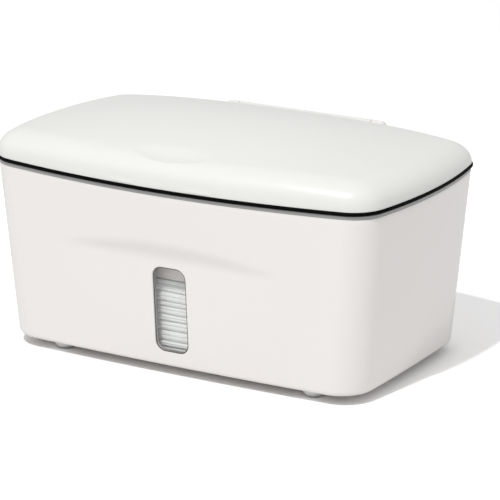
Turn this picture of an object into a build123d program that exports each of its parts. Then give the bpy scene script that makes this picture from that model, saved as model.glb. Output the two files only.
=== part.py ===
from build123d import *

import os
from math import asin, atan, cos, degrees, pi, sin

# Countertop dispenser for folded wet wipes. Millimetres, +Z up, front towards -Y.
# The origin is the middle of the whole footprint, on the surface that the feet stand on.
# The pieces are drawn about the tub's own middle and moved to it when they are written.

# ------------------------------------------------------------------ driving dimensions
# Outline at the lid's lower edge. All four sides bow outwards between round corners.
rim_half_width = 120.0
rim_half_depth = 74.5
rim_front_bow = 9.8
rim_side_bow = 4.4
rim_corner_radius = 19.0
# Outline at the tub's bottom edge.
bottom_half_width = 108.1
bottom_half_depth = 62.1
bottom_front_bow = 1.7
bottom_side_bow = 0.7
bottom_corner_radius = 18.6
# Heights, stacked from the table up.
foot_height = 5.3
body_rise = 99.6
ring_height = 2.2
gasket_height = 1.7

# Tub
tub_wall = 2.5
floor_thickness = 2.5
bottom_edge_radius = 3.0
floor_corner_radius = 2.0
# Shallow flat round the window, with a sloping brow over it
flat_depth = 3.0
flat_low = 10.0
flat_high = 60.8
brow_height = 8.4

# Window
window_width = 20.0
window_height = 47.0
window_corner_radius = 5.5
window_low = 8.5
lens_flange_margin = 3.0
lens_flange_thickness = 1.2
lens_step = 2.2
lens_fit = 0.15
window_gasket_thickness = 0.7

# Feet
foot_radius = 5.1
foot_pocket_depth = 1.2
foot_inset_x = 31.4
foot_inset_y = 13.7
foot_fit = 0.1
foot_round = 2.3

# Rim frame under the lid
frame_fit = 0.15
skirt_thickness = 2.0
skirt_depth = 10.0
shelf_thickness = 2.0
land_inset = 9.0
dam_width = 1.5
dam_height = 1.0
ring_width = 4.6

# Lid
lid_wall = 2.4
round_run = 17.0
round_rise = 10.9
lid_crown = 10.5
lid_tilt = 2.1
liner_thickness = 2.6
liner_fit = 0.5
gasket_overhang = 0.8
gasket_width = 6.0
tongue_width = 1.5
tongue_height = 1.3
tongue_inset = 3.4
tongue_fit = 0.1
seal_gap = 0.1
boss_radius = 3.5
strike_post_radius = 4.0
boss_inset_x = 34.0
boss_inset_y = 30.5

# Push spot in the lid, with the latch straight below it
push_inset = 16.0
push_depth = 1.5
push_half_length = 25.0
push_half_width = 10.0
push_bowl = 8.0

# Hinge behind the lid
hinge_setback = 2.5
hinge_above_edge = 5.0
barrel_radius = 4.0
web_rise = 2.4
knuckle_half_length = 41.7
ear_gap = 0.3
ear_length = 8.0
ear_end_radius = 2.6
ear_relief = 0.5
lug_front_setback = 0.5
lug_root_inset = 4.5
lug_drop = 16.0
pin_radius = 1.5
pin_recess = 1.0
pin_press_fit = 0.02
pin_running_fit = 0.08

# Torsion springs round the hinge pin
spring_wire = 0.7
spring_coil_radius = 2.35
spring_pitch = 1.25
spring_turns = 8
spring_leg = 3.0
spring_bore_radius = 3.1
spring_joint_share = 1.05
leg_clearance = 0.1
leg_sweep = 126.0

# Push latch
housing_half_width = 8.0
housing_half_depth = 6.5
housing_height = 18.0
housing_wall = 1.6
housing_fit = 0.2
housing_flange_reach = 5.5
housing_flange_thickness = 2.5
bridge_half_width = 15.0
bridge_thickness = 3.2
bridge_reach = 9.5
plunger_half_width = 4.5
plunger_half_depth = 3.5
plunger_fit = 0.3
plunger_travel = 4.0
collar_thickness = 2.0
collar_reach = 1.1
guide_radius = 1.8
guide_length = 8.0
latch_gap = 0.1
magnet_radius = 3.0
magnet_thickness = 2.0
strike_radius = 6.0
strike_thickness = 1.2
strike_fit = 0.1
magnet_fit = 0.05
latch_spring_wire = 0.6
latch_spring_radius = 2.8
latch_spring_turns = 5
cam_plate_half_width = 2.6
cam_plate_thickness = 1.2
cam_plate_drop = 6.0
cam_track_half_width = 1.3
cam_track_depth = 0.7
cam_track_end = 0.8
cam_wire_radius = 0.35
cam_wire_bend = 0.55
cam_wire_length = 8.0
cam_wire_fit = 0.1

# Wipes and the weighted plate that lies on them
stack_end_gap = 12.0
stack_side_gap = 6.9
stack_height = 43.2
least_stack_height = 2.5
stack_corner_radius = 2.0
soft_gap = 0.3
plate_side_gap = 3.1
plate_floor = 1.8
plate_side = 1.6
plate_top = 1.9
weight_thickness = 2.0
weight_gap = 0.1
weight_margin = 8.0
weight_post_gap = 0.3
plate_lip = 1.4
slot_half_length = 32.0
slot_half_width = 11.0
lips_fit = 0.15
lips_ledge = 3.0
lips_rim = 3.0
lips_rim_height = 1.0
lips_opening_half_length = 25.0
lips_opening_half_width = 4.0
plate_post_inset_x = 34.0
plate_post_inset_y = 25.5
plate_post_radius = 3.0

# Thread-forming screws
screw_radius = 1.05
screw_fit = 0.05
screw_head_radius = 2.3
screw_head_height = 1.3
screw_recess_radius = 1.4
screw_recess_width = 0.6
screw_recess_depth = 0.6
screw_tip_room = 0.3
lid_screw_bite = 5.0
strike_screw_bite = 6.0
plate_screw_bite = 0.8
latch_screw_bite = 2.2

# ------------------------------------------------------------------ levels
body_bottom = foot_height
lid_edge = body_bottom + body_rise
ring_top = lid_edge - gasket_height
tub_top = ring_top - ring_height
floor_top = body_bottom + floor_thickness
hinge_z = lid_edge + hinge_above_edge
liner_top = lid_edge + liner_thickness
stack_bottom = floor_top + soft_gap
stack_top = stack_bottom + stack_height
plate_low = stack_top + soft_gap
plate_seam = plate_low + plate_floor + weight_gap + weight_thickness + weight_gap + plate_lip
plate_high = plate_seam + plate_top
plate_outline_level = floor_top + least_stack_height
spring_length = spring_pitch * spring_turns
ear_inner_x = knuckle_half_length + ear_gap
ear_outer_x = ear_inner_x + ear_length
spring_start_x = knuckle_half_length - spring_length - spring_wire / 2
lid_screw_length = liner_thickness + lid_screw_bite
strike_screw_length = liner_thickness + strike_screw_bite
latch_screw_length = housing_flange_thickness + latch_screw_bite
plate_screw_length = plate_seam - plate_low + plate_screw_bite
far = 400.0
# How far a cutting shape runs past the face that it opens
past = 1.0

# ------------------------------------------------------------------ places
foot_x = bottom_half_width - foot_inset_x
foot_y = bottom_half_depth - foot_inset_y
boss_x = rim_half_width - boss_inset_x
boss_y = rim_half_depth - boss_inset_y
push_y = push_inset - rim_half_depth
hinge_y = rim_half_depth + hinge_setback
lug_front_y = rim_half_depth + lug_front_setback
lug_root_y = rim_half_depth - lug_root_inset
stack_half_width = bottom_half_width - stack_end_gap
stack_half_depth = bottom_half_depth - stack_side_gap
plate_post_x = stack_half_width - plate_post_inset_x
plate_post_y = stack_half_depth - plate_post_inset_y
# The hinge reaches farther back than the seal's edge reaches forward.
tub_middle_y = (rim_half_depth + gasket_overhang - hinge_y - barrel_radius) / 2


# ------------------------------------------------------------------ helpers
def outline(z, inset=0.0):
    """Face of the bowed outline at height z, moved in by inset (out, if it is negative)."""
    share = (z - body_bottom) / body_rise

    def at_height(low, high):
        return low + (high - low) * share

    half_width = at_height(bottom_half_width, rim_half_width)
    half_depth = at_height(bottom_half_depth, rim_half_depth)
    front_bow = at_height(bottom_front_bow, rim_front_bow)
    side_bow = at_height(bottom_side_bow, rim_side_bow)
    corner = at_height(bottom_corner_radius, rim_corner_radius)
    centre_x = half_width - side_bow - corner
    centre_y = half_depth - front_bow - corner
    radius = corner - inset
    # Each long arc turns by this much before the corner's arc takes over.
    front_turn = asin(2 * centre_x * front_bow / (centre_x**2 + front_bow**2))
    side_turn = asin(2 * centre_y * side_bow / (centre_y**2 + side_bow**2))
    middle_turn = (-pi / 2 + front_turn - side_turn) / 2
    front_x = centre_x + radius * sin(front_turn)
    front_y = centre_y + radius * cos(front_turn)
    side_x = centre_x + radius * cos(side_turn)
    side_y = centre_y + radius * sin(side_turn)
    corner_x = centre_x + radius * cos(middle_turn)
    corner_y = centre_y - radius * sin(middle_turn)
    reach_x = half_width - inset
    reach_y = half_depth - inset
    ends = [
        (-front_x, -front_y), (front_x, -front_y), (side_x, -side_y), (side_x, side_y),
        (front_x, front_y), (-front_x, front_y), (-side_x, side_y), (-side_x, -side_y),
    ]
    middles = [
        (0, -reach_y), (corner_x, -corner_y), (reach_x, 0), (corner_x, corner_y),
        (0, reach_y), (-corner_x, corner_y), (-reach_x, 0), (-corner_x, -corner_y),
    ]
    arcs = [ThreePointArc(ends[i], middles[i], ends[(i + 1) % 8]) for i in range(8)]
    return Pos(0, 0, z) * Face(Wire(arcs))


def slab(low, high, inset=0.0):
    """Solid that follows the tub's tapering outline between two heights."""
    return loft([outline(low, inset), outline(high, inset)], ruled=True)


def band(low, high, outer_inset, inner_inset):
    """Ring between two insets of the tub's outline."""
    return slab(low, high, outer_inset) - slab(low, high, inner_inset)


def block(x, y, z):
    """Box between the pairs x, y and z."""
    size = [x[1] - x[0], y[1] - y[0], z[1] - z[0]]
    middle = [(x[0] + x[1]) / 2, (y[0] + y[1]) / 2, (z[0] + z[1]) / 2]
    return Pos(*middle) * Box(*size)


def upright(radius, low, high, x=0.0, y=0.0):
    """Upright cylinder between two heights."""
    return Pos(x, y, (low + high) / 2) * Cylinder(radius, high - low)


def crossways(radius, left, right):
    """Cylinder on the hinge's axis between two x values."""
    return Pos((left + right) / 2, hinge_y, hinge_z) * Rot(0, 90, 0) * Cylinder(radius, right - left)


def slot_prism(half_length, half_width, low, high):
    """Upright prism with round ends, long in x."""
    shape = SlotOverall(2 * half_length, 2 * half_width)
    return Pos(0, 0, low) * extrude(shape, high - low)


def screw(length, x, y, z):
    """Countersunk screw pointing up, its head's face at height z."""
    head = Cone(screw_head_radius, screw_radius, screw_head_height)
    head = Pos(x, y, z + screw_head_height / 2) * head
    shank = upright(screw_radius, z, z + length, x, y)
    half = screw_recess_width / 2
    bar = block((-screw_recess_radius, screw_recess_radius), (-half, half), (0, screw_recess_depth))
    recess = (bar + Rot(0, 0, 90) * bar) & Cylinder(screw_recess_radius, 2 * screw_recess_depth)
    return head + shank - Pos(x, y, z) * recess


def screw_room(length, x, y, z):
    """Countersink and hole for the screw above."""
    top_radius = screw_radius + screw_fit
    head = Pos(x, y, z + screw_head_height / 2) * Cone(
        screw_head_radius + screw_fit, top_radius, screw_head_height)
    return head + upright(top_radius, z, z + length + screw_fit, x, y)


def screw_hole(start, tip, x, y):
    """Blind hole for a screw whose tip ends at this height."""
    return upright(screw_radius + screw_fit, start - past, tip + screw_tip_room, x, y)


def coil(wire, radius, pitch, turns):
    """Helical wire about Z from height 0."""
    path = Helix(pitch, pitch * turns, radius)
    section = Plane(path @ 0, z_dir=path % 0) * Circle(wire / 2)
    return sweep(section, path, is_frenet=True)


# ------------------------------------------------------------------ front wall and window
def wall_y(rise):
    """Front face on the centre line, this far above the bottom edge."""
    return -(bottom_half_depth + (rim_half_depth - bottom_half_depth) * rise / body_rise)


flat_low_y = wall_y(flat_low)
flat_high_y = wall_y(flat_high) + flat_depth
flat_lean = atan((flat_low_y - flat_high_y) / (flat_high - flat_low))
window_middle = window_low + window_height / 2
window_plane = Plane(
    origin=(0, flat_low_y - (window_middle - flat_low) * sin(flat_lean) / cos(flat_lean),
            body_bottom + window_middle),
    x_dir=(1, 0, 0),
    z_dir=(0, -cos(flat_lean), -sin(flat_lean)),
)


def window_prism(margin, near, far_depth):
    """Prism of the window's shape grown by margin, between two depths behind the flat."""
    shape = RectangleRounded(window_width + 2 * margin, window_height + 2 * margin,
                             window_corner_radius + margin)
    return window_plane * Pos(0, 0, -far_depth) * extrude(shape, far_depth - near)


def front_flat():
    """What the flat and its brow take off the front wall."""
    brow_y = wall_y(flat_high + brow_height)
    outside_y = -rim_half_depth - past
    profile = Polyline(
        (flat_low_y, body_bottom + flat_low),
        (flat_high_y, body_bottom + flat_high),
        (brow_y, body_bottom + flat_high + brow_height),
        (outside_y, body_bottom + flat_high + brow_height),
        (outside_y, body_bottom + flat_low),
        close=True,
    )
    return extrude(Plane.YZ.offset(-rim_half_width) * make_face(profile), 2 * rim_half_width)


def ear(side):
    """Hinge ear with the lug that joins it to the tub's back wall."""
    inner, outer = side * ear_inner_x, side * ear_outer_x
    left, right = min(inner, outer), max(inner, outer)
    barrel = crossways(barrel_radius, left, right)
    rim = [edge for edge in barrel.edges().filter_by(GeomType.CIRCLE)
           if abs(edge.center().X - outer) < 0.01]
    barrel = fillet(rim, ear_end_radius)
    back_y = hinge_y + barrel_radius
    profile = Polyline(
        (lug_front_y, hinge_z), (back_y, hinge_z), (back_y, tub_top),
        (lug_root_y + tub_wall, tub_top - lug_drop), (lug_root_y, tub_top - lug_drop),
        (lug_root_y, tub_top), (lug_front_y, tub_top), close=True,
    )
    lug_end = outer - side * ear_end_radius
    lug = extrude(Plane.YZ.offset(min(inner, lug_end)) * make_face(profile), abs(lug_end - inner))
    return barrel + lug


def tub_shell():
    outside = slab(body_bottom, tub_top)
    outside = fillet(outside.edges().group_by(Axis.Z)[0], bottom_edge_radius)
    outside -= front_flat()
    ears = ear(-1) + ear(1)
    inside = slab(floor_top, tub_top + past, tub_wall)
    inside = fillet(inside.edges().group_by(Axis.Z)[0], floor_corner_radius)
    inside -= Pos(0, tub_wall, 0) * front_flat()
    lens_back = tub_wall + window_gasket_thickness + lens_flange_thickness
    inside += window_prism(lens_flange_margin + lens_fit, tub_wall, lens_back)
    shell = outside + ears - inside - window_prism(0, -flat_depth - past, tub_wall + past)
    for x in (-foot_x, foot_x):
        for y in (-foot_y, foot_y):
            shell -= upright(foot_radius + foot_fit, body_bottom - past, body_bottom + foot_pocket_depth, x, y)
    shell -= spring_leg_hole(-1) + spring_leg_hole(1)
    return shell - crossways(pin_radius + pin_press_fit, -ear_outer_x - past, ear_outer_x + past)


def window_lens():
    """Clear lens: a flange behind the wall and a step that stands in the opening."""
    flange_near = tub_wall + window_gasket_thickness
    flange = window_prism(lens_flange_margin, flange_near, flange_near + lens_flange_thickness)
    return flange + window_prism(-lens_fit, flange_near - window_gasket_thickness - lens_step, flange_near)


def window_gasket():
    near = tub_wall
    ring = window_prism(lens_flange_margin, near, near + window_gasket_thickness)
    return ring - window_prism(0, near - past, near + window_gasket_thickness + past)


def foot(x, y):
    """Soft foot: a low dome with a short root glued into the tub's pocket."""
    body = upright(foot_radius, 0, body_bottom + foot_pocket_depth, x, y)
    return fillet(body.edges().group_by(Axis.Z)[0], foot_round)


# ------------------------------------------------------------------ rim
def rim_ring():
    return band(tub_top, ring_top, 0, ring_width)


def housing_bolt_spots():
    reach = housing_half_width + housing_flange_reach / 2
    return [(-reach, push_y), (reach, push_y)]


def rim_frame():
    """Inner frame: a skirt in the tub, a shelf under the ring, a land and a dam inside it."""
    skirt_inset = tub_wall + frame_fit
    shelf_low = tub_top - shelf_thickness
    frame = band(tub_top - skirt_depth, shelf_low, skirt_inset, skirt_inset + skirt_thickness)
    frame += band(shelf_low, tub_top, skirt_inset, land_inset)
    frame += band(tub_top, ring_top, ring_width + frame_fit, land_inset)
    frame += band(ring_top, ring_top + dam_height, land_inset - dam_width, land_inset)
    bridge_back = push_y + bridge_reach
    bridge = block((-bridge_half_width, bridge_half_width), (-rim_half_depth, bridge_back),
                   (ring_top - bridge_thickness, ring_top))
    # The bridge joins the land from inside and stays behind the ring.
    bridge &= slab(ring_top - bridge_thickness, ring_top, (ring_width + frame_fit + land_inset) / 2)
    frame += bridge
    hole_x = plunger_half_width + plunger_fit
    hole_y = plunger_half_depth + plunger_fit
    skirt_low = tub_top - skirt_depth
    frame -= block((-hole_x, hole_x), (push_y - hole_y, push_y + hole_y), (skirt_low, ring_top + past))
    room_x = housing_half_width + housing_flange_reach + housing_fit
    room_y = housing_half_depth + housing_fit
    frame -= block((-room_x, room_x), (push_y - room_y, push_y + room_y), (skirt_low, housing_top))
    for x, y in housing_bolt_spots():
        frame -= screw_hole(housing_top, housing_top + latch_screw_bite, x, y)
    return frame


# ------------------------------------------------------------------ lid
def lid_rise(y):
    """Height of the lid's crowned surface over its lower edge, on the centre line."""
    share = y / rim_half_depth
    return round_rise + lid_crown * (1 - share**2) - lid_tilt * share


def crown_face(lower):
    """Crowned and slightly tilted surface over the lid, lowered by this much."""
    spread = 1.15
    across = [-spread, 0, spread]
    swell = [1 - spread**2, 1 + spread**2, 1 - spread**2]
    rows = []
    for i in range(3):
        rows.append([
            Vector(rim_half_width * across[i], rim_half_depth * across[j],
                   round_rise - lower + lid_crown * swell[i] * swell[j] - lid_tilt * across[j])
            for j in range(3)
        ])
    return Face.make_bezier_surface(rows)


def dome(inset):
    """Solid under the lid's outer surface (inset 0) or its inner one (inset = wall).

    Its edge is a quarter ellipse: a round edge on a taller body that is then pressed flat.
    """
    run = round_run - inset
    press = (round_rise - inset) / run
    below = 4.0
    wall = extrude(Pos(0, 0, -lid_edge - below / press) * outline(lid_edge, inset), far)
    under = extrude(scale(crown_face(inset), by=(1, 1, 1 / press)), amount=far, dir=(0, 0, -1))
    tall = wall & under
    top_edges = [edge for edge in tall.edges() if edge.center().Z > 0 and edge.geom_type != GeomType.LINE]
    tall = fillet(top_edges, run)
    flat = scale(tall, by=(1, 1, press))
    keep = block((-far, far), (-far, far), (0, far))
    return Pos(0, 0, lid_edge) * (flat & keep)


def push_bowl_solid():
    """Ellipsoid that presses the push spot into the lid."""
    open_share = (1 - ((push_bowl - push_depth) / push_bowl) ** 2) ** 0.5
    slope = atan(-2 * lid_crown * push_y / rim_half_depth**2 - lid_tilt / rim_half_depth)
    ball = scale(Sphere(1), by=(push_half_length / open_share, push_half_width / open_share, push_bowl))
    lift = push_bowl - push_depth
    centre = (0, push_y - lift * sin(slope), lid_edge + lid_rise(push_y) + lift * cos(slope))
    return Pos(*centre) * Rot(degrees(slope), 0, 0) * ball


def boss_spots():
    return [(x, y) for x in (-boss_x, boss_x) for y in (-boss_y, boss_y)]


def lid_cover():
    web = block((-knuckle_half_length, knuckle_half_length), (lug_root_y - lid_wall, hinge_y),
                (hinge_z - barrel_radius, hinge_z + web_rise))
    outside = dome(0) + web + crossways(barrel_radius, -knuckle_half_length, knuckle_half_length)
    hollow = dome(lid_wall)
    for x, y in boss_spots():
        hollow -= upright(boss_radius, liner_top, far, x, y)
    hollow -= upright(strike_post_radius, liner_top, far, 0, push_y)
    bowl = push_bowl_solid()
    hollow -= Pos(0, 0, -lid_wall) * bowl
    cover = outside - bowl - hollow
    for x, y in boss_spots():
        cover -= screw_hole(liner_top, lid_edge + lid_screw_length, x, y)
    cover -= screw_hole(liner_top, lid_edge + strike_screw_length, 0, push_y)
    for side in (-1, 1):
        near = side * knuckle_half_length
        away = side * (ear_outer_x + ear_relief)
        cover -= crossways(barrel_radius + ear_relief, min(near, away), max(near, away))
        cover -= spring_room(side)
    bore_end = knuckle_half_length + past
    return cover - crossways(pin_radius + pin_running_fit, -bore_end, bore_end)


def lid_liner():
    """Inner pan of the lid, with a groove for the gasket's tongue."""
    plate = extrude(outline(lid_edge, lid_wall + liner_fit), liner_thickness)
    groove_depth = tongue_height + tongue_fit
    groove_out = extrude(outline(lid_edge, tongue_inset - tongue_fit), groove_depth)
    groove_in = extrude(outline(lid_edge, tongue_inset + tongue_width + tongue_fit), groove_depth)
    plate -= groove_out - groove_in
    plate -= upright(strike_radius + strike_fit, lid_edge - past, lid_edge + strike_thickness, 0, push_y)
    for x, y in boss_spots():
        plate -= screw_room(lid_screw_length, x, y, lid_edge)
    return plate - upright(screw_radius + screw_fit, lid_edge, liner_top + past, 0, push_y)


def lid_gasket():
    """Sealing bead under the lid's edge, with a tongue in the liner's groove."""
    low = ring_top + seal_gap
    bead_out = extrude(Pos(0, 0, low - lid_edge) * outline(lid_edge, -gasket_overhang), lid_edge - low)
    bead_in = extrude(Pos(0, 0, low - lid_edge) * outline(lid_edge, gasket_width), lid_edge - low)
    rib_out = extrude(outline(lid_edge, tongue_inset), tongue_height)
    rib_in = extrude(outline(lid_edge, tongue_inset + tongue_width), tongue_height)
    return bead_out - bead_in + (rib_out - rib_in)


def lid_screws():
    return [screw(lid_screw_length, x, y, lid_edge) for x, y in boss_spots()]


def strike_plate():
    disc = upright(strike_radius, lid_edge, lid_edge + strike_thickness, 0, push_y)
    return disc - screw_room(strike_screw_length, 0, push_y, lid_edge)


# ------------------------------------------------------------------ hinge
def hinge_pin():
    return crossways(pin_radius, -ear_outer_x + pin_recess, ear_outer_x - pin_recess)


def mirrored(shape, side):
    """The shape as made for the right side, or its mirror image for the left."""
    return shape if side > 0 else mirror(shape, about=Plane.YZ)


def spring_room(side):
    """Room in the knuckle for a spring: a bore, and a pocket that its leg sweeps from the stop.

    The leg rests on the pocket's stop while the lid is shut. The stop turns away as it opens.
    """
    bore_start = spring_start_x - spring_wire / 2 - leg_clearance
    bore = crossways(spring_bore_radius, bore_start, knuckle_half_length + past)
    reach = spring_coil_radius + spring_wire / 2 + leg_clearance
    depth = spring_leg + leg_clearance
    lead = degrees(asin((spring_wire / 2 + leg_clearance) / spring_coil_radius))
    pocket = Pos(spring_start_x - depth / 2, hinge_y, hinge_z) * Rot(0, 90, 0) * Rot(0, 0, -lead) * Cylinder(
        reach, depth, arc_size=leg_sweep, align=(Align.NONE, Align.NONE, Align.CENTER))
    return mirrored(bore + pocket, side)


def spring_leg_hole(side):
    """Hole in the ear for the spring's fixed leg."""
    hole = Pos(0, 0, -spring_coil_radius) * crossways(
        spring_wire / 2 + leg_clearance, ear_inner_x - past, ear_inner_x + spring_leg + leg_clearance)
    return mirrored(hole, side)


def hinge_spring(side):
    """Coil round the pin with one straight leg in the lid's pocket and one in the ear."""
    end_leg = spring_wire / 2 + ear_gap + spring_leg
    body = coil(spring_wire, spring_coil_radius, spring_pitch, spring_turns)
    joint = Sphere(spring_wire / 2 * spring_joint_share)
    body += Pos(spring_coil_radius, 0, 0) * joint
    body += Pos(spring_coil_radius, 0, spring_length) * joint
    body += Pos(spring_coil_radius, 0, -spring_leg / 2) * Cylinder(spring_wire / 2, spring_leg)
    body += Pos(spring_coil_radius, 0, spring_length + end_leg / 2) * Cylinder(spring_wire / 2, end_leg)
    return mirrored(Pos(spring_start_x, hinge_y, hinge_z) * Rot(0, 90, 0) * body, side)


# ------------------------------------------------------------------ latch
housing_top = ring_top - bridge_thickness
housing_low = housing_top - housing_height
collar_top = housing_top - plunger_travel - latch_gap
collar_low = collar_top - collar_thickness
plunger_top = lid_edge - latch_gap
latch_spring_low = housing_low + housing_wall
collar_front = push_y - plunger_half_depth - collar_reach
housing_inner_front = push_y - housing_half_depth + housing_wall
cam_wire_y = housing_inner_front - cam_wire_radius - cam_wire_fit
cam_tip_z = collar_low - cam_track_end - cam_wire_radius
cam_foot_z = cam_tip_z - cam_wire_length


def latch_housing():
    """Open-topped box hung under the bridge by two screwed flanges."""
    outer = block((-housing_half_width, housing_half_width),
                  (push_y - housing_half_depth, push_y + housing_half_depth), (housing_low, housing_top))
    reach = housing_half_width + housing_flange_reach
    outer += block((-reach, reach), (push_y - housing_half_depth, push_y + housing_half_depth),
                   (housing_top - housing_flange_thickness, housing_top))
    inner_x = housing_half_width - housing_wall
    inner_y = housing_half_depth - housing_wall
    box = outer - block((-inner_x, inner_x), (push_y - inner_y, push_y + inner_y),
                        (latch_spring_low, housing_top + past))
    for x, y in housing_bolt_spots():
        box -= screw_room(latch_screw_length, x, y, housing_top - housing_flange_thickness)
    # A groove for the cam pin, and the hole that its lower end turns in.
    groove = cam_wire_radius + cam_wire_fit
    box -= block((-groove, groove), (cam_wire_y - groove, housing_inner_front + cam_wire_fit),
                 (cam_foot_z - groove, housing_top + past))
    foot_hole = Pos(0, housing_inner_front - housing_wall / 2, cam_foot_z) * Rot(90, 0, 0)
    return box - foot_hole * Cylinder(groove, housing_wall + 2 * cam_wire_fit)


def latch_screws():
    return [screw(latch_screw_length, x, y, housing_top - housing_flange_thickness)
            for x, y in housing_bolt_spots()]


def latch_plunger():
    """Plunger with a collar for the spring, a guide below it and the cam track in its front."""
    stem = block((-plunger_half_width, plunger_half_width),
                 (push_y - plunger_half_depth, push_y + plunger_half_depth), (collar_low, plunger_top))
    collar_x = plunger_half_width + collar_reach
    collar_y = plunger_half_depth + collar_reach
    stem += block((-collar_x, collar_x), (push_y - collar_y, push_y + collar_y), (collar_low, collar_top))
    stem += upright(guide_radius, collar_low - guide_length, collar_low, 0, push_y)
    stem += block((-cam_plate_half_width, cam_plate_half_width),
                  (collar_front, collar_front + cam_plate_thickness),
                  (collar_low - cam_plate_drop, collar_low))
    track_low = cam_tip_z - plunger_travel - cam_wire_radius - cam_wire_fit
    stem -= block((-cam_track_half_width, cam_track_half_width),
                  (collar_front - past, collar_front + cam_track_depth),
                  (track_low, cam_tip_z + cam_wire_radius + cam_wire_fit))
    stem -= upright(magnet_radius + magnet_fit, plunger_top - magnet_thickness, plunger_top + past, 0, push_y)
    return stem


def latch_cam_pin():
    """Bent wire: its foot turns in the housing and its tip follows the plunger's track."""
    tip_y = collar_front + cam_track_depth - cam_wire_fit
    path = FilletPolyline(
        (0, tip_y, cam_tip_z), (0, cam_wire_y, cam_tip_z), (0, cam_wire_y, cam_foot_z),
        (0, housing_inner_front - housing_wall, cam_foot_z), radius=cam_wire_bend)
    return sweep(Plane(path @ 0, z_dir=path % 0) * Circle(cam_wire_radius), path)


def latch_magnet():
    return upright(magnet_radius, plunger_top - magnet_thickness, plunger_top, 0, push_y)


def latch_spring():
    """Compression spring between the housing's floor and the plunger's collar."""
    length = collar_low - latch_spring_low
    pitch = (length - latch_spring_wire - 2 * latch_gap) / latch_spring_turns
    wound = coil(latch_spring_wire, latch_spring_radius, pitch, latch_spring_turns)
    return Pos(0, push_y, latch_spring_low + latch_spring_wire / 2 + latch_gap) * wound


def wipe_stack():
    """Folded wipes, as one block."""
    stack = block((-stack_half_width, stack_half_width), (-stack_half_depth, stack_half_depth),
                  (stack_bottom, stack_top))
    return fillet(stack.edges().filter_by(Axis.Z), stack_corner_radius)


# ------------------------------------------------------------------ weighted plate
def plate_slab(inset, low, high):
    """Upright slab of the plate's outline, moved in by inset."""
    face = outline(plate_outline_level, tub_wall + plate_side_gap + inset)
    return Pos(0, 0, low - plate_outline_level) * extrude(face, high - low)


def post_spots():
    return [(x, y) for x in (-plate_post_x, plate_post_x) for y in (-plate_post_y, plate_post_y)]


def plate_base():
    """Tray under the weight."""
    tray = plate_slab(0, plate_low, plate_seam)
    tray -= plate_slab(plate_side, plate_low + plate_floor, plate_seam + past)
    hole_length = slot_half_length - lips_ledge
    hole_width = slot_half_width - lips_ledge
    tray -= slot_prism(hole_length, hole_width, plate_low - past, plate_seam)
    for x, y in post_spots():
        tray -= screw_room(plate_screw_length, x, y, plate_low)
    return tray


def plate_cover():
    """Cover over the weight, with a lip inside the tray and four screw posts."""
    lip_inset = plate_side + lips_fit
    cover = plate_slab(0, plate_seam, plate_high)
    cover += plate_slab(lip_inset, plate_seam - plate_lip, plate_seam) - plate_slab(
        lip_inset + plate_side, plate_seam - plate_lip, plate_seam)
    for x, y in post_spots():
        cover += upright(plate_post_radius, plate_low + plate_floor, plate_seam, x, y)
    cover -= slot_prism(slot_half_length + lips_fit, slot_half_width + lips_fit, plate_low, plate_high + past)
    for x, y in post_spots():
        cover -= screw_hole(plate_low, plate_low + plate_screw_length, x, y)
    return cover


def plate_weight():
    """Steel slab between the tray and the cover."""
    low = plate_low + plate_floor + weight_gap
    slab_body = plate_slab(plate_side + weight_margin, low, low + weight_thickness)
    slab_body -= slot_prism(slot_half_length + weight_margin, slot_half_width + weight_margin, low - past,
                            low + weight_thickness + past)
    for x, y in post_spots():
        slab_body -= upright(plate_post_radius + weight_post_gap, low - past, low + weight_thickness + past, x, y)
    return slab_body


def dispensing_lips():
    """Soft insert that grips the wipe in the plate's slot."""
    low = plate_low + plate_floor
    body = slot_prism(slot_half_length, slot_half_width, low, plate_high)
    body += slot_prism(slot_half_length + lips_rim, slot_half_width + lips_rim, plate_high,
                       plate_high + lips_rim_height)
    return body - slot_prism(lips_opening_half_length, lips_opening_half_width, low - past,
                             plate_high + lips_rim_height + past)


def plate_screws():
    return [screw(plate_screw_length, x, y, plate_low) for x, y in post_spots()]


# ------------------------------------------------------------------ nodes
nodes = {
    "tub_shell": tub_shell(),
    "window_lens": window_lens(),
    "window_gasket": window_gasket(),
    "foot_front_left": foot(-foot_x, -foot_y),
    "foot_front_right": foot(foot_x, -foot_y),
    "foot_rear_left": foot(-foot_x, foot_y),
    "foot_rear_right": foot(foot_x, foot_y),
    "rim_ring": rim_ring(),
    "rim_frame": rim_frame(),
    "lid_cover": lid_cover(),
    "lid_liner": lid_liner(),
    "lid_gasket": lid_gasket(),
    "lid_screws": lid_screws(),
    "strike_plate": strike_plate(),
    "strike_screw": screw(strike_screw_length, 0, push_y, lid_edge),
    "hinge_pin": hinge_pin(),
    "hinge_spring_left": hinge_spring(-1),
    "hinge_spring_right": hinge_spring(1),
    "latch_housing": latch_housing(),
    "latch_screws": latch_screws(),
    "latch_plunger": latch_plunger(),
    "latch_magnet": latch_magnet(),
    "latch_spring": latch_spring(),
    "latch_cam_pin": latch_cam_pin(),
    "wipe_stack": wipe_stack(),
    "plate_base": plate_base(),
    "plate_cover": plate_cover(),
    "plate_weight": plate_weight(),
    "dispensing_lips": dispensing_lips(),
    "plate_screws": plate_screws(),
}

os.makedirs("parts", exist_ok=True)
for name, shape in nodes.items():
    pieces = shape if isinstance(shape, list) else [shape]
    group = Compound([solid for piece in pieces for solid in piece.solids()])
    export_step(Pos(0, tub_middle_y, 0) * group, f"parts/{name}.step")
    print(name, "written")
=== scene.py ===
# %% [markdown]
# # A countertop dispenser for folded wipes
# The real object is a white moulded tub with a domed lid, a black seal between
# the two, and a small window that shows how many wipes are left. This lesson
# loads its CAD model as a fixed frame. The large visible shells are then drawn
# again in mesh code, because a shell built from formulas shades smoothly, where
# a shell cut into triangles by a CAD program shows its facets in the highlights.

# %% Load the frame
import math
import random

import bmesh
import bpy
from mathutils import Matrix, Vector, noise


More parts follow.
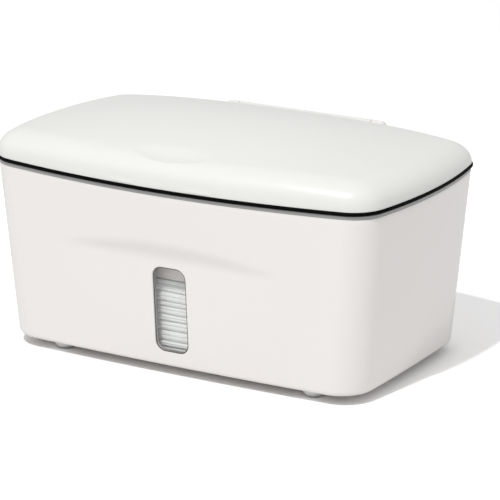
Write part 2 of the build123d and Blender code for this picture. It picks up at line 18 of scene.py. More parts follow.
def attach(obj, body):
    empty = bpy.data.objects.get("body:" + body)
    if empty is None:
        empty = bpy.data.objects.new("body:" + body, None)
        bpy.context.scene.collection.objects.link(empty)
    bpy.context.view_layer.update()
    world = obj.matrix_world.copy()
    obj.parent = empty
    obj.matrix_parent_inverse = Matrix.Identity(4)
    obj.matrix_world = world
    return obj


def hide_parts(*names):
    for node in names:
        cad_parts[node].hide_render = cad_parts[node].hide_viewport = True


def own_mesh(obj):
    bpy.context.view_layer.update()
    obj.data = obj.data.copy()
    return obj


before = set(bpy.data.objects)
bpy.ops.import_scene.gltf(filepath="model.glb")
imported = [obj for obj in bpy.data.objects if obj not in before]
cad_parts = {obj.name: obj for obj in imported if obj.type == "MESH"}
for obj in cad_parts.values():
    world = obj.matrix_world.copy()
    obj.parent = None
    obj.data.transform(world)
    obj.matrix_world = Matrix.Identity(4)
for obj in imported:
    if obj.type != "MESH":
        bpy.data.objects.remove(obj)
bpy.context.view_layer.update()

# %% [markdown]
# ## Where the camera stands
# The photograph looks down on the front right of the tub from about a metre
# and a half, through a long lens, so its parallel edges hardly converge. The
# camera looks at a point a little beside the tub's middle, which frames the
# tub as it is there without shifting the lens.

# %% Camera
turn = math.radians(30.451)
tip = math.radians(16.861)
camera_distance = 1.50182
lens_length = 201.91
aim_height = 0.0551
aim_right, aim_up = 0.00859, -0.00165
tub_middle_y = -0.00285

away = Vector((math.sin(turn) * math.cos(tip), -math.cos(turn) * math.cos(tip), math.sin(tip)))
rightwards = Vector((math.cos(turn), math.sin(turn), 0))
upwards = away.cross(rightwards)
aim = Vector((0, tub_middle_y, aim_height)) + aim_right * rightwards + aim_up * upwards


def new_object(name, data):
    """Object with this data, put into the scene."""
    made = bpy.data.objects.new(name, data)
    bpy.context.collection.objects.link(made)
    return made


camera = new_object("camera", bpy.data.cameras.new("camera"))
camera.location = aim + camera_distance * away
camera.rotation_euler = away.to_track_quat("Z", "Y").to_euler()
camera.data.lens = lens_length
camera.data.sensor_width = 36.0
bpy.context.scene.camera = camera
print("camera at", [round(c, 4) for c in camera.location])

# %% [markdown]
# ## The tub's plan
# Every level of the tub has the same kind of outline: four sides that bow out
# a little and four round corners. It could be drawn by hand as a curve, but
# eight arcs in a formula give the outline at any height and at any distance
# inside it, with the same number of points each time, so that any two outlines
# can be joined with four-sided faces.

# %% Outline at any height
low_plan = {"half_width": 0.1081, "half_depth": 0.0621, "front_bow": 0.0017,
            "side_bow": 0.0007, "corner": 0.0186}
rim_plan = {"half_width": 0.1200, "half_depth": 0.0745, "front_bow": 0.0098,
            "side_bow": 0.0044, "corner": 0.0190}
tub_low = 0.0053
lid_edge = 0.1049
window_columns = [-0.016 + 0.002 * i for i in range(17)]
beside_window = 32
steps_side = 44
steps_corner = 12
steps_front = 2 * beside_window + len(window_columns) - 1
ring_count = 2 * steps_front + 2 * steps_side + 4 * steps_corner


def sweep(start, end, steps):
    """Angles in radians from start to end, given in degrees."""
    return [math.radians(start + (end - start) * i / steps) for i in range(steps + 1)]


def plan_at(z):
    """The outline's five sizes at height z."""
    share = (z - tub_low) / (lid_edge - tub_low)
    return {key: low_plan[key] + (rim_plan[key] - low_plan[key]) * share for key in low_plan}


def arcs_at(z, inset):
    """Centres, radii and turns of the outline's arcs at height z, moved in by inset."""
    plan = plan_at(z)
    centre_x = plan["half_width"] - plan["side_bow"] - plan["corner"]
    centre_y = plan["half_depth"] - plan["front_bow"] - plan["corner"]
    radius = plan["corner"] - inset
    front_radius = (centre_x**2 + plan["front_bow"]**2) / (2 * plan["front_bow"])
    side_radius = (centre_y**2 + plan["side_bow"]**2) / (2 * plan["side_bow"])
    front_middle = front_radius - centre_y - plan["front_bow"]
    side_middle = centre_x + plan["side_bow"] - side_radius
    return {
        "centre": (centre_x, centre_y), "radius": radius,
        "front": (front_middle, front_radius + radius), "front_turn": math.asin(centre_x / front_radius),
        "side": (side_middle, side_radius + radius), "side_turn": math.asin(centre_y / side_radius),
    }


def outline_points(z, inset=0.0):
    """The closed outline, from the left end of the front, anticlockwise from above."""
    arcs = arcs_at(z, inset)
    (cx, cy), radius = arcs["centre"], arcs["radius"]
    front_end = cx + radius * math.sin(arcs["front_turn"])
    last_column = window_columns[-1]
    step = (front_end - last_column) / beside_window
    spread = [last_column + step * i for i in range(1, beside_window + 1)]
    columns = [-x for x in reversed(spread)] + window_columns + spread
    front_y = [arcs["front"][0] - math.sqrt(arcs["front"][1]**2 - x * x) for x in columns]
    front_turn, side_turn = math.degrees(arcs["front_turn"]), math.degrees(arcs["side_turn"])
    side_middle, side_radius = arcs["side"]
    side = [(side_middle + side_radius * math.cos(a), side_radius * math.sin(a))
            for a in sweep(-side_turn, side_turn, steps_side)]
    corner = [(cx + radius * math.cos(a), -cy + radius * math.sin(a))
              for a in sweep(front_turn - 90, -side_turn, steps_corner)]
    points = list(zip(columns, front_y))[:-1] + corner[:-1] + side[:-1]
    points += [(x, -y) for x, y in reversed(corner)][:-1]
    return points + [(-x, -y) for x, y in points]


print("points in an outline:", ring_count, len(outline_points(lid_edge)))

# %% [markdown]
# ## Small tools for building meshes
# Nearly all the shells here are stacks of outlines. One list of points and
# one of faces are collected first and turned into an object at the end, which
# is quicker than adding to a mesh in the viewport, and easy to read back.

# %% Mesh builder
class Shell:
    """Points and faces of one piece, in the tub's own place."""

    def __init__(self):
        self.points = []
        self.faces = []

    def ring(self, points):
        """Adds a closed row of points and returns their numbers."""
        first = len(self.points)
        self.points += [Vector(p) for p in points]
        return list(range(first, len(self.points)))

    def join(self, lower, upper, skip=()):
        """Four-sided faces between two rings of the same count."""
        count = len(lower)
        for i in range(count):
            if i not in skip:
                j = (i + 1) % count
                self.faces.append((lower[i], lower[j], upper[j], upper[i]))

    def stack(self, rings, closed=False):
        """Joins each ring to the next, and the last to the first if closed."""
        numbers = [self.ring(points) for points in rings]
        for lower, upper in zip(numbers, numbers[1:]):
            self.join(lower, upper)
        if closed:
            self.join(numbers[-1], numbers[0])
        return numbers

    def cap(self, rows):
        """One face over each end of a stack, both facing out."""
        self.faces += [tuple(reversed(rows[0])), tuple(rows[-1])]


def make_piece(name, shell, body, material, sharp=38.0):
    """Turns a shell into a smooth-shaded object that rides on a CAD body."""
    mesh = bpy.data.meshes.new(name)
    mesh.from_pydata([p + Vector((0, tub_middle_y, 0)) for p in shell.points], [], shell.faces)
    mesh.validate()
    mesh.update()
    for face in mesh.polygons:
        face.use_smooth = True
    mesh.set_sharp_from_angle(angle=math.radians(sharp))
    piece = new_object(name, mesh)
    mesh.materials.append(material)
    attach(piece, body)
    print(name, "has", len(mesh.vertices), "points and", len(mesh.polygons), "faces")
    return piece


def smooth_max(a, b, softness):
    """The larger of two numbers, with the change-over rounded."""
    overlap = max(softness - abs(a - b), 0.0) / softness
    return max(a, b) + overlap * overlap * softness / 4


# %% [markdown]
# ## How the materials are built
# Each material is one shader, and noises feed its tone, its gloss and its
# relief wherever the real surface varies in them. They could be wired by hand
# in the shader editor. Small helpers say the same in a line each, so that the
# recipes below stay short and can be compared.

# %% Material helpers
def add_node(tree, kind, values=None, sources=None, **settings):
    """New node with these settings, these values on its inputs, and these outputs linked to its inputs."""
    node = tree.nodes.new("ShaderNode" + kind)
    for name, setting in settings.items():
        setattr(node, name, setting)
    for name, value in (values or {}).items():
        node.inputs[name].default_value = value
    for name, source in (sources or {}).items():
        tree.links.new(source, node.inputs[name])
    return node


def new_material(name, values):
    """Material with these values on its shader, with its node tree and the object's coordinates."""
    material = bpy.data.materials.new(name)
    material.use_nodes = True
    tree = material.node_tree
    for socket, value in values.items():
        tree.nodes["Principled BSDF"].inputs[socket].default_value = value
    return material, tree, add_node(tree, "TexCoord").outputs["Object"]


def noise_over(tree, place, **values):
    """Noise over these coordinates."""
    sockets = {name.capitalize(): value for name, value in values.items()}
    return add_node(tree, "TexNoise", sockets, {"Vector": place}).outputs["Fac"]


def feed(tree, node, output, socket):
    """Links a node's output to a socket of the shader."""
    tree.links.new(node.outputs[output], tree.nodes["Principled BSDF"].inputs[socket])


def feed_tone(tree, source, colour, darkest):
    """Base colour from a darker shade of the colour to the colour itself."""
    ends = {"A": (*[c * darkest for c in colour], 1), "B": (*colour, 1)}
    feed(tree, add_node(tree, "Mix", ends, {"Factor": source}, data_type="RGBA"), "Result", "Base Color")


def feed_gloss(tree, source, low, high, start=0.3, end=0.7):
    """Roughness from low to high while the source goes from start to end."""
    values = {"From Min": start, "From Max": end, "To Min": low, "To Max": high}
    feed(tree, add_node(tree, "MapRange", values, {"Value": source}), "Result", "Roughness")


def feed_relief(tree, source, strength, depth):
    """Fine relief, too small to model."""
    bump = add_node(tree, "Bump", {"Strength": strength, "Distance": depth}, {"Height": source})
    feed(tree, bump, "Normal", "Normal")


print("material helpers ready")

# %% [markdown]
# ## White moulded plastic
# The tub and the lid are injection-moulded in white plastic with a glossy
# skin, the tub's white a little warmer than the lid's. It could be a plain
# white shader, but real mouldings are never quite even: the mould leaves a
# very fine grain, and gloss and tone drift over a large face. Three noises at
# three scales give that without a picture file.

# %% Moulded plastics
def moulded_plastic(name, colour, rough, drift=0.05, grain_size=0.0007, grain_depth=0.00002, glow=0.0):
    """Plastic with mould grain, slow changes of gloss and faint changes of tone."""
    material, tree, place = new_material(name, {
        "IOR": 1.49, "Subsurface Weight": glow, "Subsurface Radius": (0.004, 0.004, 0.0035),
        "Subsurface Scale": 1.0})
    feed_tone(tree, noise_over(tree, place, scale=14.0, detail=3.0), colour, 0.98)
    smears = noise_over(tree, place, scale=55.0, detail=5.0, roughness=0.65)
    feed_gloss(tree, smears, rough - drift, rough + drift)
    feed_relief(tree, noise_over(tree, place, scale=1.0 / grain_size, detail=2.0), 0.35, grain_depth)
    return material


tub_white = moulded_plastic("tub_white", (0.918, 0.878, 0.853), 0.21, drift=0.04, glow=0.08)
lid_white = moulded_plastic("lid_white", (0.868, 0.865, 0.827), 0.32, drift=0.04, glow=0.08)
inner_white = moulded_plastic("inner_white", (0.80, 0.80, 0.78), 0.48)
grey_ring = moulded_plastic("grey_ring", (0.34, 0.345, 0.335), 0.42)
plate_cream = moulded_plastic("plate_cream", (0.88, 0.82, 0.79), 0.46)
latch_grey = moulded_plastic("latch_grey", (0.55, 0.56, 0.56), 0.40)
print("moulded plastics ready")

# %% [markdown]
# ## Rubber, steel, window and cloth
# The lid's seal is dull black silicone, and the lips are grey. The window's
# seal is dark, partly its own silicone and partly painted shade of the gap
# round the window. The feet are of a glossy, milky silicone. Screws and
# springs are steel with fine drawing lines. The window is clear polycarbonate,
# and the wipes are damp cloth of tangled fibres. One recipe with other colours
# would do from afar, but each of these breaks up light in its own way, so each
# has its own.
# The window is made see-through by alpha and not by refraction, which stays
# free of speckles in so small an opening.

# %% Rubber
def soft_rubber(name, colour, rough, dust=0.12, shine=0.5, milky=0.0):
    """Silicone rubber with a fine skin: dusty, shiny or milky as asked."""
    material = moulded_plastic(name, colour, rough, drift=0.08, grain_size=0.0004, grain_depth=0.00003)
    skin = {"IOR": 1.42, "Specular IOR Level": shine, "Sheen Weight": dust, "Sheen Roughness": 0.4,
            "Subsurface Weight": milky}
    for socket, value in skin.items():
        material.node_tree.nodes["Principled BSDF"].inputs[socket].default_value = value
    return material


black_silicone = soft_rubber("black_silicone", (0.002, 0.002, 0.002), 0.58, dust=0.0, shine=0.05)
grey_silicone = soft_rubber("grey_silicone", (0.40, 0.41, 0.40), 0.5)
# The window seal's dark tone is partly its own silicone and partly painted shade of the gap round the window.
gap_shade_silicone = soft_rubber("gap_shade_silicone", (0.12, 0.115, 0.11), 0.45, dust=0.0)
milky_silicone = soft_rubber("milky_silicone", (0.92, 0.92, 0.90), 0.16, dust=0.0, milky=0.3)
print("rubbers ready")


# %% Metals
def drawn_metal(name, colour, rough, line_direction=(1, 0, 0)):
    """Steel with fine lines along one direction."""
    along, across = 60.0, 3200.0
    material, tree, place = new_material(name, {"Metallic": 1.0})
    stretch = {"Scale": [along if part else across for part in line_direction]}
    stretched = add_node(tree, "Mapping", stretch, {"Vector": place}).outputs["Vector"]
    lines = noise_over(tree, stretched, scale=1.0, detail=4.0)
    feed_tone(tree, lines, colour, 0.86)
    feed_gloss(tree, lines, rough * 0.7, rough * 1.3, start=0.0, end=1.0)
    feed_relief(tree, lines, 0.2, 0.00001)
    return material


screw_steel = drawn_metal("screw_steel", (0.60, 0.60, 0.61), 0.30)
wire_steel = drawn_metal("wire_steel", (0.52, 0.53, 0.55), 0.26)
plated_magnet = drawn_metal("plated_magnet", (0.68, 0.68, 0.70), 0.16, (0, 0, 1))
print("metals ready")


# %% Clear window
def clear_plastic(name):
    """Polycarbonate: clear, with a breath of haze."""
    clear = {"Base Color": (0.93, 0.95, 0.95, 1), "Alpha": 0.05, "IOR": 1.58}
    material, tree, place = new_material(name, clear)
    feed_gloss(tree, noise_over(tree, place, scale=120.0, detail=6.0), 0.02, 0.09, start=0.35, end=0.75)
    return material


clear_window = clear_plastic("clear_window")
print("window ready")


# %% Damp cloth
def damp_cloth(name, colour):
    """Non-woven cloth: tangled fibres, small pits from the water jets that bind it."""
    material, tree, place = new_material(name, {
        "Sheen Weight": 0.25, "Sheen Roughness": 0.5, "Subsurface Weight": 0.12,
        "Subsurface Radius": (0.003, 0.003, 0.003), "Subsurface Scale": 1.0})
    fibres = noise_over(tree, place, scale=2600.0, detail=6.0, distortion=1.6)
    pits = add_node(tree, "TexVoronoi", {"Scale": 620.0}, {"Vector": place}).outputs["Distance"]
    feed_tone(tree, fibres, colour, 0.93)
    feed_gloss(tree, noise_over(tree, place, scale=60.0, detail=3.0), 0.45, 0.8)
    height = add_node(tree, "Math", {1: 0.6}, {0: pits, 2: fibres}, operation="MULTIPLY_ADD")
    feed_relief(tree, height.outputs["Value"], 0.6, 0.0002)
    return material


wipe_cloth = damp_cloth("wipe_cloth", (0.96, 0.97, 0.95))
print("cloth ready")

# %% [markdown]
# ## The shallow flat and its brow
# The front wall bows out, but a window needs a flat. On the real tub the wall
# is pressed in a little round the window, deepest at the top, and ends there
# in a soft step like a brow. A sculpting brush could make it, but a formula
# says it better: the wall's depth is the larger of two smooth surfaces, the
# bowed wall and a leaning flat, with the change-over rounded.

# %% Front wall
flat_low = 0.010
flat_high = 0.0608
brow_height = 0.0084
flat_depth = 0.0030
flat_softness = 0.0009
crease_softness = 0.0012
flat_reach = 0.085
tub_wall = 0.0025


def bowed_wall_y(rise):
    """The front wall on the centre line, without the flat."""
    share = rise / (lid_edge - tub_low)
    return -(low_plan["half_depth"] + (rim_plan["half_depth"] - low_plan["half_depth"]) * share)


flat_low_y = bowed_wall_y(flat_low)
flat_high_y = bowed_wall_y(flat_high) + flat_depth
flat_slope = (flat_high_y - flat_low_y) / (flat_high - flat_low)
brow_slope = (bowed_wall_y(flat_high + brow_height) - flat_high_y) / brow_height
lean = math.atan(-flat_slope)


def flat_y(z):
    """The leaning flat, which turns out into the brow above the window."""
    rise = z - tub_low
    on_flat = flat_high_y + flat_slope * (rise - flat_high)
    on_brow = flat_high_y + brow_slope * (rise - flat_high)
    return -smooth_max(-on_flat, -on_brow, crease_softness)


def front_wall_y(x, z, inset=0.0):
    """The front wall's face at x and z, moved in by inset."""
    arcs = arcs_at(z, inset)
    bowed = arcs["front"][0] - math.sqrt(arcs["front"][1]**2 - x * x)
    return smooth_max(bowed, flat_y(z) + inset, flat_softness)


def tub_ring(z, inset=0.0, depth_of_wall=0.0):
    """Outline at height z, with the flat pressed into its front."""
    ring = []
    for x, y in outline_points(z, inset):
        if y < 0 and abs(x) < flat_reach:
            y = smooth_max(y, flat_y(z) + depth_of_wall, flat_softness)
        ring.append((x, y, z))
    return ring


print("flat leans out by", round(math.degrees(lean), 2), "degrees")

# %% [markdown]
# ## The tub
# The tub is one moulded shell: an outer face that tapers, a round bottom edge,
# a floor, an inner face, and a window cut through the front. It could be a
# solid with a boolean cut, but booleans leave slivers that catch the light.
# Here the grid leaves out a patch where the window is, and the patch is filled
# by rings that change from the grid's rectangle to the window's round corners.

# %% Window's outline
window_half_width = 0.010
window_half_height = 0.0235
window_corner = 0.0055
window_middle_z = tub_low + 0.0085 + window_half_height
window_rows = [0.0124 + 0.0015 * i for i in range(35)]


def round_rectangle(half_width, half_height, radius, across, up):
    """Points from the middle of the lower left corner, anticlockwise from the front."""
    flat_x, flat_z = half_width - radius, half_height - radius
    arc = radius * math.pi / 4
    points = []
    sides = [(2 * flat_x, across, 0.0, (-flat_x, -flat_z)),
             (2 * flat_z, up, math.pi / 2, (flat_x, -flat_z)),
             (2 * flat_x, across, math.pi, (flat_x, flat_z)),
             (2 * flat_z, up, -math.pi / 2, (-flat_x, flat_z))]
    for straight, count, heading, (cx, cz) in sides:
        along, across_way = (math.cos(heading), math.sin(heading)), (math.sin(heading), -math.cos(heading))
        for i in range(count):
            s = (straight + 2 * arc) * i / count
            if s < arc:
                a = -math.pi / 4 + s / radius
                u, v = radius * math.sin(a), radius * math.cos(a)
            elif s < arc + straight:
                u, v = s - arc, radius
            else:
                a = (s - arc - straight) / radius
                u, v = straight + radius * math.sin(a), radius * math.cos(a)
            points.append((cx + u * along[0] + v * across_way[0], cz + u * along[1] + v * across_way[1]))
    return points


def window_ring(grow, depth, inset=0.0, face=front_wall_y):
    """The window's outline on a face, grown by a distance and pushed into the wall by a depth."""
    ring = []
    outline = round_rectangle(window_half_width + grow, window_half_height + grow, window_corner + grow,
                              len(window_columns) - 1, len(window_rows) - 1)
    for u, v in outline:
        z = window_middle_z + v * math.cos(lean)
        ring.append((u, face(u, z, inset) + depth * math.cos(lean), z + depth * math.sin(lean)))
    return ring


print("points round the window:", len(window_ring(0, 0)))

# %% Fill a closed outline with a grid
def edges_of_grid(ring):
    """The ring's points as four edges between the middles of its corners."""
    half = steps_corner // 2
    front_right = steps_front + half
    back_right = front_right + steps_corner + steps_side
    back_left = back_right + steps_corner + steps_front
    front_left = back_left + steps_corner + steps_side
    turned = ring[front_left:] + ring[:front_left]
    long_way, short_way = steps_front + steps_corner, steps_side + steps_corner
    front = turned[:long_way + 1]
    right = turned[long_way:long_way + short_way + 1]
    back = list(reversed(turned[long_way + short_way:2 * long_way + short_way + 1]))
    left = list(reversed(turned[2 * long_way + short_way:] + turned[:1]))
    return front, right, back, left


def grid_inside(shell, ring, height, facing_down=False):
    """Fills a ring of the shell with four-sided faces, each point at height(x, y)."""
    front, right, back, left = edges_of_grid(ring)
    across, along = len(front) - 1, len(right) - 1
    spot = shell.points
    rows = [front]
    for j in range(1, along):
        v = j / along
        row = [left[j]]
        for i in range(1, across):
            u = i / across
            edge = (1 - v) * spot[front[i]] + v * spot[back[i]] + (1 - u) * spot[left[j]] + u * spot[right[j]]
            corners = ((1 - u) * (1 - v) * spot[front[0]] + u * (1 - v) * spot[front[-1]]
                       + (1 - u) * v * spot[back[0]] + u * v * spot[back[-1]])
            place = edge - corners
            place.z = height(place.x, place.y)
            shell.points.append(place)
            row.append(len(shell.points) - 1)
        row.append(right[j])
        rows.append(row)
    rows.append(back)
    for lower, upper in zip(rows, rows[1:]):
        for i in range(across):
            face = (lower[i], lower[i + 1], upper[i + 1], upper[i])
            shell.faces.append(tuple(reversed(face)) if facing_down else face)


# %% Wall with a gap for the window
def wall_rows(shell, rings, heights, inwards=False):
    """Joins rings up the wall, leaving out the window's patch, and returns the patch's border."""
    numbers = [shell.ring(ring) for ring in rings]
    first_column = beside_window
    last_column = first_column + len(window_columns) - 1
    inside = set(range(first_column, last_column))
    low = heights.index(window_rows[0])
    high = heights.index(window_rows[-1])
    for k, pair in enumerate(zip(numbers, numbers[1:])):
        lower, upper = reversed(pair) if inwards else pair
        shell.join(lower, upper, inside if low <= k < high else ())
    border = [numbers[low][i] for i in range(first_column, last_column)]
    border += [numbers[k][last_column] for k in range(low, high)]
    border += [numbers[high][i] for i in range(last_column, first_column, -1)]
    border += [numbers[k][first_column] for k in range(high, low, -1)]
    return numbers, border


def border_to_window(shell, border, grow, inset, shares):
    """Rings that change from the patch's border to the window's outline."""
    goal = [Vector(p) for p in window_ring(grow, 0, inset)]
    rings = []
    for share in shares:
        ring = []
        for number, end in zip(border, goal):
            start = shell.points[number]
            x = start.x + (end.x - start.x) * share
            z = start.z + (end.z - start.z) * share
            ring.append((x, front_wall_y(x, z, inset), z))
        rings.append(ring)
    return rings


print("tub tools ready")

# %% Tub
tub_top = 0.1010
tub_floor = 0.0078
bottom_edge = 0.0030
floor_edge = 0.0020
window_edge = 0.0005
rows_below_window = [0.0094, 0.0109]
brow_row = 0.0007
above_brow = 0.0767
top_edge = [(0.0002, 0.00004), (0.0001, 0.00012), (0.0, 0.0003)]
top_round = top_edge[-1][1]

tub = Shell()
taper = math.atan((rim_plan["half_depth"] - low_plan["half_depth"]) / (lid_edge - tub_low))
outer = []
for a in sweep(-90, -math.degrees(taper), 12):
    z = tub_low + bottom_edge * (1 + math.sin(a))
    wall = bottom_edge / math.cos(taper) + bottom_edge * math.sin(a) * math.tan(taper)
    outer.append((z, wall - bottom_edge * math.cos(a)))
outer += [(z, 0.0) for z in rows_below_window + window_rows]
outer += [(window_rows[-1] + brow_row * i, 0.0) for i in range(1, 20)]
outer += [(above_brow + (tub_top - top_round - above_brow) * i / 10, 0.0) for i in range(1, 11)]
outer += [(tub_top - down, inset) for down, inset in top_edge]
outer_rings = [tub_ring(z, inset) for z, inset in outer]
outer_numbers, outer_border = wall_rows(tub, outer_rings, [z for z, inset in outer])
flat_floor = outer_rings[0][0][2]
grid_inside(tub, outer_numbers[0], lambda x, y: flat_floor, facing_down=True)

inner = []
for a in sweep(-90, 0, 6):
    inner.append((tub_floor + floor_edge * (1 + math.sin(a)), tub_wall + floor_edge * (1 - math.cos(a))))
inner += [(z, tub_wall) for z in window_rows]
inner += [(window_rows[-1] + 1.9 * brow_row * i, tub_wall) for i in range(1, 11)]
inner += [(above_brow + (tub_top - above_brow) * i / 8, tub_wall) for i in range(1, 9)]
inner_rings = [tub_ring(z, inset, tub_wall) for z, inset in inner]
inner_numbers, inner_border = wall_rows(tub, inner_rings, [z for z, inset in inner], inwards=True)
grid_inside(tub, inner_numbers[0], lambda x, y: tub_floor)
tub.join(outer_numbers[-1], inner_numbers[-1])
print("tub walls:", len(tub.faces), "faces")

# %% Window's edge in the tub
shares = [0.3, 0.55, 0.75, 0.9, 1.0]
edge_rings = border_to_window(tub, outer_border, window_edge, 0.0, shares)
for a in sweep(0, 90, 6)[1:]:
    edge_rings.append(window_ring(window_edge * (1 - math.sin(a)), window_edge * (1 - math.cos(a))))
short_of_back = 0.0002
edge_rings.append(window_ring(0.0, tub_wall - short_of_back))
numbers = [outer_border] + [tub.ring(ring) for ring in edge_rings]
back_rings = border_to_window(tub, inner_border, 0.0, tub_wall, shares)
numbers += [tub.ring(ring) for ring in reversed(back_rings)] + [inner_border]
for outer_ring, inner_ring in zip(numbers, numbers[1:]):
    tub.join(outer_ring, inner_ring)
print("window edge:", len(edge_rings) + len(back_rings), "rings")

# %% Tub as an object
tub_piece = make_piece("tub", tub, "base", tub_white)
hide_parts("tub_shell")

# %% [markdown]
# ## Hinge ears on the tub
# Behind the lid, two ears hold the hinge pin. On the real tub they are part of
# the same moulding: a short barrel with a round end, on a lug that runs down
# the back wall. A barrel is a profile turned about the hinge's axis, and the
# lug is an outline pushed sideways. A bevel modifier then rounds their edges,
# as a mould would.

# %% Turned and pushed shapes
hinge_y = 0.077
hinge_z = 0.1099
barrel_radius = 0.004
knuckle_end = 0.0417
ear_inner = 0.0420
ear_outer = 0.0500
pin_hole = 0.00152


def hinge_ring(x, radius, steps=48):
    """Circle about the hinge's axis."""
    turns = sweep(0, 360, steps)[:-1]
    return [(x, hinge_y + radius * math.cos(a), hinge_z + radius * math.sin(a)) for a in turns]


def pushed_sideways(shell, outline, left, right):
    """Prism of an outline in (y, z), drawn anticlockwise as seen from +X."""
    shell.cap(shell.stack([[(x, y, z) for y, z in outline] for x in (left, right)]))


def add_mirrored(shell):
    """Adds the shell's mirror image on the other side of the middle plane."""
    first = len(shell.points)
    shell.points += [Vector((-p.x, p.y, p.z)) for p in shell.points[:first]]
    shell.faces += [tuple(first + n for n in reversed(face)) for face in list(shell.faces)]


def round_edges(piece, width, limit=30.0):
    """Bevel modifier on the piece's sharp edges."""
    bevel = piece.modifiers.new("round_edges", "BEVEL")
    bevel.width = width
    bevel.segments = 3
    bevel.limit_method = "ANGLE"
    bevel.angle_limit = math.radians(limit)
    bevel.harden_normals = True


# %% Ears
ears = Shell()
end_round = 0.0026
profile = [(ear_inner, pin_hole), (ear_inner, barrel_radius)]
for a in sweep(0, 87.4, 8):
    profile.append((ear_outer - end_round + end_round * math.sin(a),
                    barrel_radius - end_round + end_round * math.cos(a)))
profile += [(ear_outer - 0.0010, pin_hole)]
ears.stack([hinge_ring(x, radius) for x, radius in profile], closed=True)
lug = [(0.0700, 0.0850), (0.0725, 0.0850), (0.0810, 0.1010), (0.0810, 0.1099), (0.0750, 0.1099),
       (0.0750, 0.1010), (0.0700, 0.1010)]
pushed_sideways(ears, lug, ear_inner, ear_outer - end_round)
add_mirrored(ears)
ears_piece = make_piece("hinge_ears", ears, "base", tub_white)
round_edges(ears_piece, 0.0004)
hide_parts("tub_shell")

# %% [markdown]
# ## Grey band and black seal
# Between tub and lid the real object shows two lines: a thin grey band on the
# tub's top edge, and over it a black rubber bead that stands out a little and
# seals the lid. Both are the tub's outline with a small section carried round
# it. A curve with a bevel object would do as well, but the section's corners
# stay truer when each corner of it is an outline of its own.

# %% A section carried round the tub
def carried_round(name, section, body, material, plan_z=None, sharp=38.0):
    """Piece with this closed section of (inset, z) along the tub's outline."""
    shell = Shell()
    rings = []
    for inset, z in section:
        rings.append([(x, y, z) for x, y in outline_points(plan_z or z, inset)])
    shell.stack(rings, closed=True)
    return make_piece(name, shell, body, material, sharp)


def quarter(centre, radius, start, steps=4):
    """Points of a quarter round in the section, turning anticlockwise from an angle in degrees."""
    return [(centre[0] + radius * math.cos(a), centre[1] + radius * math.sin(a))
            for a in sweep(start, start + 90, steps)]


ring_low, ring_top = 0.1010, 0.1029
band_edge, band_width = 0.00025, 0.0046
section = [(band_width, ring_low)]
section += [(band_edge - dx, z) for dx, z in quarter((0, ring_low + band_edge), band_edge, -90)]
section += [(band_edge - dx, z) for dx, z in quarter((0, ring_top - band_edge), band_edge, 0)]
section += [(band_width, ring_top)]
band_piece = carried_round("grey_band", section, "base", grey_ring)
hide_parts("rim_ring")

# %% Seal
seal_low, seal_top = 0.1030, 0.1049
bead = (seal_top - seal_low) / 2
stands_out, seal_width = 0.0008, 0.0060
tongue_outer, tongue_inner, tongue_rise = 0.0034, 0.0049, 0.0013
section = [(seal_width, seal_low)]
for a in sweep(-90, 90, 8):
    section.append((bead - stands_out - bead * math.cos(a), seal_low + bead + bead * math.sin(a)))
section += [(tongue_outer, seal_top), (tongue_outer, seal_top + tongue_rise)]
section += [(tongue_inner, seal_top + tongue_rise), (tongue_inner, seal_top), (seal_width, seal_top)]
seal_piece = carried_round("black_seal", section, "lid", black_silicone, plan_z=lid_edge)
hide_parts("lid_gasket")

# %% [markdown]
# ## The lid
# The lid is a shallow dome: a crowned top, a little lower at the back, that
# rolls over into an upright edge. A push spot is pressed into its front, a
# scoop for a thumb. A subdivided box could be pulled into this shape, but the
# roll-over is what catches the light, so it is worked out as a ball would roll
# inside the edge, and then pressed a little flat.

# %% The crowned top
round_run = 0.017
round_rise = 0.0109
lid_crown = 0.0105
lid_tilt = 0.0021
push_y = -0.0612
push_depth = 0.0015
push_lean = 0.75
push_half_length, push_half_width = 0.0230, 0.0080


def crown_height(x, y, wall=0.0):
    """Height of the crowned top over the lid's lower edge."""
    across, along = x / rim_plan["half_width"], y / rim_plan["half_depth"]
    return round_rise - wall + lid_crown * (1 - across**2) * (1 - along**2) - lid_tilt * along


def push_spot(x, y, softness=0.5):
    """How far the push spot lowers the top at x and y: a scoop that is deeper near its front."""
    back = (y - push_y) / push_half_width
    reach = (x / push_half_length)**2 + back**2
    scoop = 1 - push_lean * max(min(back, 1.0), -1.0)
    return push_depth * scoop * smooth_max(1 - reach, 0.0, softness)


def roll_over(wall=0.0):
    """For each point of the outline: where the ball touches the top, and its middle's height."""
    run = round_run - wall
    press = (round_rise - wall) / run
    insets = [run * i / 60 for i in range(61)]
    table = [outline_points(lid_edge, wall + d) for d in insets]
    touches = []
    for i in range(ring_count):
        heights = [crown_height(*table[k][i], wall) / press for k in range(61)]
        touch, middle = run, heights[-1] - run
        for k in range(1, 61):
            slope = (heights[k] - heights[k - 1]) / (insets[k] - insets[k - 1])
            lean_out = slope / math.sqrt(1 + slope * slope)
            if insets[k] >= run * (1 - lean_out):
                touch = insets[k]
                middle = heights[k] - run / math.sqrt(1 + slope * slope)
                break
        touches.append((touch, middle))
    return run, press, touches


def dome_rings(wall=0.0, low=0.0, pressed=push_spot):
    """The dome's rows from its lower edge to where the flatter top takes over."""
    run, press, touches = roll_over(wall)
    rings = []
    for share in (0.0, 0.5):
        outline = outline_points(lid_edge, wall)
        rings.append([(x, y, lid_edge + low + (middle * press - low) * share)
                      for (x, y), (touch, middle) in zip(outline, touches)])
    for k in range(23):
        inset = run * (1 - math.cos(math.radians(k * 90 / 22)))
        ring = []
        for (x, y), (touch, middle) in zip(outline_points(lid_edge, wall + inset), touches):
            if inset < touch:
                height = press * (middle + math.sqrt(run**2 - (run - inset)**2))
            else:
                height = crown_height(x, y, wall)
            ring.append((x, y, lid_edge + height - pressed(x, y)))
        rings.append(ring)
    return rings


print("crown over the middle:", round(crown_height(0, 0) * 1000, 2), "mm")

